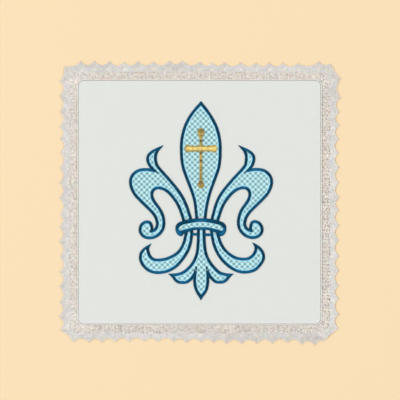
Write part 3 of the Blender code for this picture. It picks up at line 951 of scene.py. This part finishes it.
# Each knot is x, y and heading, and at a sharp turn also the heading after it.
CENTRE_PETAL_RIGHT_HALF = (
    (2.8, -9.7, 85), (4.9, 2.8, 76), (11.0, 20.6, 71), (12.7, 36.0, 90), (7.4, 55.4, 121),
    (0.0, 65.5, 133),
)
CENTRE_PETAL_LEFT_HALF = (
    (2.8, -9.7, 85), (4.5, 2.8, 75), (10.9, 20.6, 71), (12.9, 36.0, 90), (7.7, 55.8, 121),
    (0.0, 65.5, 133),
)
LEFT_PETAL = (
    (-6.9, -10.5, 106), (-12.5, 3.9, 120), (-20.8, 14.8, 130), (-28.6, 23.8, 126),
    (-30.1, 29.6, 92), (-27.8, 35.6, 50, 202), (-35.2, 28.6, 272), (-30.7, 20.9, 312, 164),
    (-38.4, 21.7, 184), (-46.5, 13.4, 272), (-41.6, 3.0, 314), (-33.8, -4.7, 316),
    (-28.8, -13.4, 276), (-32.6, -18.9, 184, 80), (-35.4, -12.8, 180), (-40.2, -17.8, 268),
    (-34.1, -23.4, 0), (-26.5, -19.7, 52), (-24.5, -12.6, 94), (-27.1, -4.7, 122),
    (-32.5, 5.2, 92), (-28.2, 9.7, 0), (-17.0, 1.6, 306), (-11.5, -11.4, 286),
)
RIGHT_PETAL = (
    (-7.5, -10.5, 105), (-12.4, 4.0, 120), (-20.8, 14.8, 130), (-28.8, 23.7, 126),
    (-30.1, 29.6, 92), (-27.8, 35.6, 50, 202), (-35.0, 28.8, 272), (-31.2, 21.1, 312, 166),
    (-38.5, 21.8, 184), (-46.7, 13.4, 272), (-41.6, 3.1, 314), (-33.8, -4.6, 316),
    (-28.9, -13.5, 276), (-33.1, -18.6, 184, 80), (-35.6, -12.6, 180), (-40.4, -17.8, 268),
    (-34.3, -23.2, 0), (-27.0, -19.6, 50), (-24.8, -12.6, 94), (-27.2, -4.6, 122),
    (-32.4, 5.3, 92), (-28.3, 9.8, 0), (-16.8, 1.8, 306), (-11.2, -11.4, 286),
)
LEFT_TAIL = (
    (-9.9, -20.8, 262), (-13.2, -30.7, 238), (-22.4, -37.1, 199), (-28.6, -38.1, 181),
    (-34.3, -34.4, 108), (-35.0, -29.4, 62, 207), (-40.0, -36.0, 270), (-36.4, -43.4, 318),
    (-28.4, -46.3, 0), (-14.6, -40.3, 48), (-7.6, -29.1, 71), (-6.1, -19.4, 87),
)
# The right tail's outer line starts under the band's end, so it has no gap there.
RIGHT_TAIL = (
    (-11.1, -20.9, 257), (-15.0, -30.4, 235), (-22.4, -36.4, 205), (-28.4, -37.5, 182),
    (-35.2, -33.9, 122), (-36.1, -28.5, 64, 206), (-41.4, -36.0, 270), (-37.9, -42.5, 310),
    (-28.8, -46.0, 0), (-15.9, -39.8, 44), (-9.2, -29.3, 70), (-7.1, -19.5, 82),
)
FOOT_LEFT_HALF = (
    (-1.6, -18.4, 270), (-2.1, -31.0, 264), (-7.0, -42.3, 229), (-13.6, -47.1, 199),
    (-19.2, -48.0, 184, 318), (-15.8, -52.0, 326), (-10.9, -52.8, 4), (-6.7, -50.6, 47),
    (-3.7, -45.7, 66, 266), (-4.1, -51.6, 271), (-2.9, -57.9, 293), (0.0, -62.7, 303),
)
FOOT_RIGHT_HALF = (
    (-2.0, -18.4, 270), (-2.7, -31.0, 262), (-7.6, -41.8, 229), (-13.6, -47.0, 199),
    (-19.3, -48.0, 184, 318), (-15.9, -51.8, 324), (-11.0, -52.6, 4), (-7.3, -50.2, 47),
    (-4.4, -45.6, 64, 267), (-4.5, -51.6, 271), (-3.3, -58.0, 293), (0.0, -62.7, 303),
)
BAND_OUTSIDE_LEFT_HALF = (
    (0.0, -10.4, 180), (-7.0, -10.9, 190), (-13.7, -12.7, 200), (-16.9, -16.6, 268),
    (-13.2, -22.4, 350), (-11.7, -20.9, 80, 33), (-6.4, -18.8, 20), (0.0, -18.0, 0),
)
BAND_INSIDE_LEFT_HALF = (
    (0.0, -12.7, 180), (-7.0, -13.6, 190), (-13.3, -15.0, 196), (-15.0, -16.6, 262),
    (-13.9, -18.9, 300, 25), (-7.0, -16.9, 16), (0.0, -16.3, 0),
)
# The far rim of the band, seen as one short bar on each side of the foot's stem.
# Columns: x, y, length.
RIM_BARS = {"left": (-3.9, -21.0, 2.0), "right": (4.75, -21.3, 2.7)}
RIM_WIDTH = 1.8


def heading_vector(degrees):
    return np.array([math.cos(math.radians(degrees)), math.sin(math.radians(degrees))])


def stretches(knots):
    """Smooth runs of points through the knots, a new run after each sharp turn.

    Between two knots the line is a cubic that leaves and arrives on their headings. The
    pull at both ends is the chord over the squared cosine of a quarter of the turn.
    """
    runs = [[]]
    for (x0, y0, *headings), (x1, y1, arrive, *after) in zip(knots, knots[1:]):
        start, end = np.array([x0, y0]), np.array([x1, y1])
        depart = headings[-1]
        turn = (arrive - depart + 180) % 360 - 180
        pull = np.linalg.norm(end - start) / math.cos(math.radians(turn / 4)) ** 2
        leave, land = heading_vector(depart) * pull, heading_vector(arrive) * pull
        t = np.linspace(0.0, 1.0, max(3, round(pull / FINE_STEP)))[:, None]
        points = (
            (2 * t**3 - 3 * t**2 + 1) * start
            + (t**3 - 2 * t**2 + t) * leave
            + (3 * t**2 - 2 * t**3) * end
            + (t**3 - t**2) * land
        )
        runs[-1].append(points if not runs[-1] else points[1:])
        if after:
            runs.append([])
    return [np.vstack(run) + (EMBLEM_SHIFT, 0.0) for run in runs if run]


def mirrored(runs):
    """The same runs on the other side of the lily's axis, still end to end."""
    return [(run[::-1] - (EMBLEM_SHIFT, 0.0)) * (-1.0, 1.0) + (EMBLEM_SHIFT, 0.0) for run in runs[::-1]]


def two_halves(knots, other_knots):
    return stretches(knots) + mirrored(stretches(other_knots))


parts = {
    "centre_petal": two_halves(CENTRE_PETAL_RIGHT_HALF, CENTRE_PETAL_LEFT_HALF),
    "left_petal": stretches(LEFT_PETAL),
    "right_petal": mirrored(stretches(RIGHT_PETAL)),
    "left_tail": stretches(LEFT_TAIL),
    "right_tail": mirrored(stretches(RIGHT_TAIL)),
    "foot": two_halves(FOOT_LEFT_HALF, FOOT_RIGHT_HALF),
}
print("lily:", {name: len(runs) for name, runs in parts.items()}, "runs")

# %% [markdown]
# Satin stitch lays one thread beside another straight across the guide line, arched over
# the padding. At a sharp corner two columns meet on a mitre, and the stitches end at it.

# %% Stitches across a guide line
STITCH_PITCH = 0.37
STITCH_SLANT = 0.14
MITRE_LIMIT = 3.2
TUCK = 1.6                 # how far an open end runs on under the band
SHORTEST_STITCH = 0.05


def left_normals(run):
    along = unit(np.gradient(run, axis=0))
    return np.column_stack([-along[:, 1], along[:, 0]])


def run_end(run, at_start):
    """A run's end point and its direction there, both as seen going along the run."""
    if at_start:
        return run[0], unit(run[1] - run[0])
    return run[-1], unit(run[-1] - run[-2])


def cut_stitches(ends, near, corner, forward, keep):
    """Cuts each stitch, a pair of end points, at the line through a corner that lies
    straight across forward. near says which stitches can reach it, and keep is +1 where
    what lies beyond it stays, -1 where it goes. Also gives which stitches are left."""
    reach = keep * ((ends - corner) @ forward)
    left = ~near | (reach.max(axis=1) > 0)
    ends = ends.copy()
    for side in (0, 1):
        cut = near & left & (reach[:, side] < 0)
        other = 1 - side
        share = reach[cut, other] / (reach[cut, other] - reach[cut, side])
        ends[cut, side] = ends[cut, other] + (ends[cut, side] - ends[cut, other]) * share[:, None]
    return ends, left


def column_stitches(runs, width):
    """Both end points of each stitch along the runs."""
    stitches = []
    for index, run in enumerate(runs):
        corners = []
        line = run
        for at_start in (True, False):
            point, heading = run_end(run, at_start)
            beyond = index - 1 if at_start else index + 1
            reach = TUCK
            if 0 <= beyond < len(runs):
                _, other = run_end(runs[beyond], not at_start)
                turn = math.acos(float(np.clip(heading @ other, -1.0, 1.0)))
                reach = width / 2 * min(math.tan(turn / 2), MITRE_LIMIT)
                corners.append((at_start, 2 * reach + 0.6, point, unit(heading + other)))
            if reach > 0.02:
                extra = point + heading * (-reach if at_start else reach)
                line = np.vstack([extra, line]) if at_start else np.vstack([line, extra])
        line = spaced(line, STITCH_PITCH)
        arm = left_normals(line) * width / 2
        slant = unit(np.gradient(line, axis=0)) * STITCH_SLANT
        ends = np.stack([line + arm + slant, line - arm - slant], axis=1)
        number = np.arange(len(line))
        left = np.ones(len(line), bool)
        for at_start, zone, corner, forward in corners:
            near = (number if at_start else number[::-1]) * STITCH_PITCH < zone
            ends, stays = cut_stitches(ends, near, corner, forward, 1.0 if at_start else -1.0)
            left &= stays
        stitches.append(ends[left])
    ends = np.concatenate(stitches)
    return ends[np.linalg.norm(ends[:, 0] - ends[:, 1], axis=1) > SHORTEST_STITCH]


# %% Arched threads
STITCH_STEPS = 8
STITCH_THREAD = 0.44
SATIN_CROWN = 0.64
SATIN_BASE = LINEN_TOP - 0.12          # the stitches go a little way into the cloth
THREAD_FLATNESS = 0.8
PAINTED_DULL_TONE, PAINTED_SHINE_TONE = 0.2, 0.6       # painted shade of a stitch across the picture, and painted highlight added if it runs up
TONE_GROUP = 4             # stitches that are pulled equally tight
stitch_dice = np.random.default_rng(21)


def arched(ends, base, crown, full, power):
    """Lines that arch over from one end point to the other: crown * cosine to a power high
    where they are sine of the same angle across, so half an ellipse with power 1 and
    flatter on top with less. A stitch shorter than full is a little lower."""
    angle = np.linspace(-np.pi / 2, np.pi / 2, STITCH_STEPS)[None, :, None]
    middle = ends.mean(axis=1)[:, None, :]
    arm = ((ends[:, 1] - ends[:, 0]) / 2)[:, None, :]
    length = np.linalg.norm(ends[:, 0] - ends[:, 1], axis=1)
    rise = crown * np.minimum(length / full, 1.0) ** 0.2
    rise = rise * (1 + stitch_dice.normal(0.0, 0.03, len(rise)))
    height = base + rise[:, None, None] * np.maximum(np.cos(angle), 0.0) ** power
    return np.concatenate([middle + arm * np.sin(angle), height], axis=-1).reshape(-1, 3)


def stitch_tones_and_painted_shine(ends, chance):
    """About 0 to 1 for each stitch: painted highlight if it runs up the picture and painted
    shade across it, for the glint of the side lamps. The rest is chance, half of it shared
    by stitches that were pulled equally tight."""
    across = ends[:, 1] - ends[:, 0]
    painted_shine = (across[:, 1] ** 2 / (across**2).sum(axis=1)) ** 1.5
    group = np.arange(len(ends)) // TONE_GROUP
    luck = stitch_dice.random(group[-1] + 1)[group] + stitch_dice.random(len(ends)) - 1.0
    return PAINTED_DULL_TONE + PAINTED_SHINE_TONE * painted_shine + chance * luck


def dress(piece, slot, *nodes):
    """Hides the solids that a piece of embroidery replaces, if any."""
    if nodes:
        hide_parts(*nodes)


def satin_piece(
    name, ends, full, finish=satin_thread, base=SATIN_BASE, crown=SATIN_CROWN,
    thread=STITCH_THREAD, power=0.55, chance=0.2,
):
    ends = ends + stitch_dice.normal(0.0, 0.03, ends.shape)
    points = arched(ends, base, crown, full, power)
    strand = np.repeat(np.arange(len(ends)), STITCH_STEPS)
    tone = stitch_tones_and_painted_shine(ends, chance)[strand]
    return lay_threads(name, points, strand, thread, thread * THREAD_FLATNESS, finish, tone)


for part, runs in parts.items():
    stitched = satin_piece("outline_" + part, column_stitches(runs, SATIN_WIDTH), SATIN_WIDTH)
    dress(stitched, "satin_thread", "satin_" + part)

# %% [markdown]
# The band that ties the petals isn't even in width, so its stitches run from an outside
# guide line to an inside one instead of across a middle line.

# %% The band and its far rim
BAND_WIDTH = 2.4
BAND_PADDING = 0.12        # the band is padded higher than the other lines


def ruled_stitches(outside, inside):
    """Stitches from one line to another: the same number of steps along both."""
    stitches = []
    for outer, inner in zip(outside, inside):
        first = spaced(outer, STITCH_PITCH)
        stitches.append(np.stack([first, evenly(inner, len(first))], axis=1))
    return np.concatenate(stitches)


band_outside = two_halves(BAND_OUTSIDE_LEFT_HALF, BAND_OUTSIDE_LEFT_HALF)
band_inside = two_halves(BAND_INSIDE_LEFT_HALF, BAND_INSIDE_LEFT_HALF)
band_ends = ruled_stitches(band_outside, band_inside)
band = satin_piece("outline_band", band_ends, BAND_WIDTH, crown=SATIN_CROWN + BAND_PADDING)
dress(band, "satin_thread", "satin_band")

for side_name, (x, y, length) in RIM_BARS.items():
    run = (length + TUCK) / 2
    places = x + EMBLEM_SHIFT + np.arange(-run, run, STITCH_PITCH)
    bar_sides = y + RIM_WIDTH / 2 * np.array([1.0, -1.0])
    bar_ends = np.stack(np.broadcast_arrays(places[:, None], bar_sides[None, :]), axis=-1)
    rim_bar = satin_piece("rim_bar_" + side_name, bar_ends, RIM_WIDTH)
    dress(rim_bar, "satin_thread", "satin_rim_" + side_name)

# %% [markdown]
# Inside each outline lies a ground of close rows in a dull aqua, and over it a net of
# bright strands, slantwise both ways, over and under. Both are straight threads cut off at
# the outline, which a straight line crosses an even number of times: every second stretch
# between crossings is inside.

# %% Straight threads inside an outline
NET_PITCH = 2.57
NET_THREADS = (-0.43, 0.0, 0.43)
NET_THREAD = 0.46
NET_RISE = 0.1
NET_HEIGHT = LINEN_TOP + 0.24
GROUND_ROW = 0.42
GROUND_HEIGHT = LINEN_TOP + 0.07
NET_UNDERLAP = 0.35        # how far the net runs on under the outline
EDGE_THREADS = (1.2, 1.62)             # from the guide line, side by side in the outline
BAND_EDGE_THREADS = (0.25,)            # from the band's inside line
EDGE_HEIGHT = NET_HEIGHT + 0.1
LONGEST_STEP = 1.0
# How far a strand of each of the two families is from the origin, across the family.
NET_SLIP = {
    "centre_petal": (0.45, -1.0),
    "left_petal": (1.1, -0.45),
    "right_petal": (-0.75, 0.1),
    "left_tail": (0.1, -0.75),
    "right_tail": (0.4, -1.25),
    "foot": (1.2, 0.1),
    "band": (0.0, 0.0),
}


def beside(runs, distance):
    """The closed outline that stays a distance to the left of the runs (right if < 0)."""
    points = np.vstack([run + left_normals(run) * distance for run in runs])
    middle = np.vstack([spaced(run, 0.4) for run in runs])
    gap = np.linalg.norm(points[:, None, :] - middle[None, :, :], axis=2).min(axis=1)
    return points[gap > abs(distance) - 0.06]


def inner_side(runs):
    """+1 where the inside of closed runs is to their left, -1 where it is to their right."""
    x, y = np.vstack(runs).T
    return 1.0 if np.sum(x * np.roll(y, -1) - np.roll(x, -1) * y) > 0 else -1.0


def stretches_inside(loop, angle, pitch, shift):
    """The parts of parallel lines inside a closed outline: each line's number, and the
    distances along it where the part starts and ends, all counted from one origin."""
    u, v = loop @ heading_vector(angle), loop @ heading_vector(angle + 90)
    u2, v2 = np.roll(u, -1), np.roll(v, -1)
    found = []
    for number in range(math.ceil((v.min() - shift) / pitch), math.floor((v.max() - shift) / pitch) + 1):
        level = number * pitch + shift
        hit = (v <= level) != (v2 <= level)
        crossings = np.sort(u[hit] + (u2[hit] - u[hit]) * (level - v[hit]) / (v2[hit] - v[hit]))
        found += [(number, first, last) for first, last in zip(crossings[::2], crossings[1::2])]
    return [row for row in found if row[2] - row[1] > 0.5]


def straight_threads(loop, angle, pitch, shift, step, height):
    """Threads along all those parts; height is a function of line number and distance."""
    lines = []
    for number, first, last in stretches_inside(loop, angle, pitch, shift):
        u = np.linspace(first, last, max(2, round((last - first) / step) + 1))
        across = (number * pitch + shift) * heading_vector(angle + 90)
        lines.append(np.column_stack([u[:, None] * heading_vector(angle) + across, height(number, u)]))
    return lines


def net_lines(loop, slip):
    """Both families. One family's crossings are where the strands of the other one are: it
    is up at every other crossing and down at the ones between, a cosine of the distance."""
    lines = []
    for angle, over, own, crossing in ((45.0, 1.0, slip[0], -slip[1]), (135.0, -1.0, slip[1], slip[0])):
        def height(number, u):
            return NET_HEIGHT + over * NET_RISE * np.cos(np.pi * ((u - crossing) / NET_PITCH + number))

        for offset in NET_THREADS:
            lines += straight_threads(loop, angle, NET_PITCH, own + offset, NET_PITCH / 5, height)
    return lines


def crossing_highlight_share(points, slip):
    """1 where strands cross and 0 half way between, the share of painted highlight that a net
    strand gets: both distances are whole pitches at a crossing, so the product of two raised
    cosines tells how near one is."""
    shares = [
        0.5 + 0.5 * np.cos(2 * np.pi * (points[:, :2] @ heading_vector(angle) - crossing) / NET_PITCH)
        for angle, crossing in ((45.0, -slip[1]), (135.0, slip[0]))
    ]
    return shares[0] * shares[1]


def open_runs(points):
    """A closed line cut where two points are further apart than they should be."""
    step = np.linalg.norm(np.roll(points, -1, axis=0) - points, axis=1)
    breaks = np.where(step > LONGEST_STEP)[0] + 1
    if not len(breaks):
        return [np.vstack([points, points[:1]])]
    turned = np.roll(points, -breaks[0], axis=0)
    return [run for run in np.split(turned, breaks[1:] - breaks[0]) if len(run) > 3]


def edge_lines(runs, distances):
    """Threads along the inside of the outline, where the strands of the net turn back."""
    lines = []
    for distance in distances:
        for run in open_runs(beside(runs, inner_side(runs) * distance)):
            flat = spaced(run, 0.7)
            lines.append(np.column_stack([flat, np.full(len(flat), EDGE_HEIGHT)]))
    return lines


net_dice = np.random.default_rng(34)


def net_piece(part, loop, edges):
    """The net, its edge and the ground of one part of the lily."""
    points, strand = end_to_end(net_lines(loop, NET_SLIP[part]))
    crossing_highlight = crossing_highlight_share(points, NET_SLIP[part])
    points = points + net_dice.normal(0.0, 0.02, points.shape)
    # The strands are painted lighter where they cross, a painted highlight, with random tone on top.
    tone = crossing_highlight + net_dice.normal(0.0, 0.12, len(points))
    net = lay_threads("net_strands_" + part, points, strand, NET_THREAD, 0.28, net_thread, tone)
    dress(net, "net_thread", "net_" + part)
    rows = straight_threads(loop, 0.0, GROUND_ROW, 0.0, 2.0, lambda number, u: GROUND_HEIGHT + 0 * u)
    for name, lines, width, height, finish, sides in (
        ("ground_rows_", rows, GROUND_ROW + 0.1, 0.2, ground_thread, 4),
        ("net_edge_", edges, 0.44, 0.34, edge_thread, 5),
    ):
        points, strand = end_to_end(lines)
        tone = tones(strand, net_dice)
        dress(lay_threads(name + part, points, strand, width, height, finish, tone, sides), "net_thread")


for part, runs in parts.items():
    loop = beside(runs, inner_side(runs) * (SATIN_WIDTH / 2 - NET_UNDERLAP))
    net_piece(part, loop, edge_lines(runs, EDGE_THREADS))
net_piece("band", np.vstack(band_inside), edge_lines(band_inside, BAND_EDGE_THREADS))

# %% [markdown]
# The cross is padded satin stitch in gold thread, a flattened metal strip wound round a
# core. Its stitches go straight across each arm, and the arms widen to small knobs.

# %% The gold cross
CROSS_MIDDLE = (EMBLEM_SHIFT, 35.6)
GOLD_PITCH = 0.4
GOLD_THREAD = 0.46
GOLD_BASE = LINEN_TOP + 0.25
GOLD_CROWN = 0.92
# Columns: distance from the cross's middle height, half the width there.
UPRIGHT = np.array([
    (-26.2, 0.6), (-25.8, 1.4), (-24.4, 2.4), (-22.8, 2.0), (-21.2, 0.95), (-2.0, 0.95),
    (2.0, 0.95), (6.4, 0.95), (8.2, 1.5), (10.4, 2.5), (12.4, 2.0), (13.4, 0.8),
])
CROSSBAR = np.array([
    (-10.4, 1.2), (-9.9, 2.4), (-8.6, 2.7), (-7.0, 2.0), (-1.6, 2.0),
    (1.6, 2.0), (7.0, 2.0), (8.6, 2.7), (9.9, 2.4), (10.4, 1.2),
])


def arm_stitches(table, along, across):
    """Stitches across an arm of the cross, as long as the arm is wide there."""
    count = round((table[-1, 0] - table[0, 0]) / GOLD_PITCH)
    place = np.linspace(table[0, 0], table[-1, 0], count)
    middle = np.array(CROSS_MIDDLE) + place[:, None] * np.array(along)
    arm = np.interp(place, table[:, 0], table[:, 1])[:, None] * np.array(across)
    return np.stack([middle + arm, middle - arm], axis=1)


upright = satin_piece(
    "cross_upright", arm_stitches(UPRIGHT, (0.0, 1.0), (-1.0, 0.0)), 2.2, gold_thread,
    GOLD_BASE, GOLD_CROWN - 0.25, GOLD_THREAD, power=0.6, chance=1.1,
)
crossbar = satin_piece(
    "cross_bar", arm_stitches(CROSSBAR, (1.0, 0.0), (0.0, 1.0)), 3.4, gold_thread,
    GOLD_BASE, GOLD_CROWN, GOLD_THREAD, power=0.9, chance=0.6,
)
for gold_arm in (upright, crossbar):
    dress(gold_arm, "gold_thread", "gold_cross")

# %% [markdown] Bring the scene up to date

bpy.context.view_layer.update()
